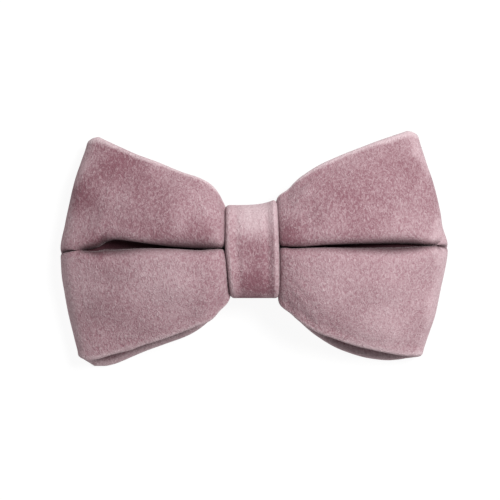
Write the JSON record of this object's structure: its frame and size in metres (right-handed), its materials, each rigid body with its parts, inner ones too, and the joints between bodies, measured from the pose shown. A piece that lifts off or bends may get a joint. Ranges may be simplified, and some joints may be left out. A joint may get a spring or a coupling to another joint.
{
  "type": "slip-on pet bow tie",
  "caption": "Pre-tied pleated velvet bow with looped wings, a wrapped knot and an elastic keeper behind it for a pet's collar.",
  "frame": {"origin": "middle of the bow on the surface that it lies on", "axes": "+X along the bow to its right wing, +Y up the bow as worn, +Z from its back to its front"},
  "size_m": [0.1099, 0.0661, 0.0234],
  "materials": {
    "band_velvet": "matt velvet with a soft sheen",
    "wrap_velvet": "matt velvet with a soft sheen",
    "keeper_elastic": "woven elastic"
  },
  "bodies": {
    "root": {"bow_band": "band_velvet", "knot_wrap": "wrap_velvet", "keeper_strip": "keeper_elastic"}
  },
  "joints": []
}
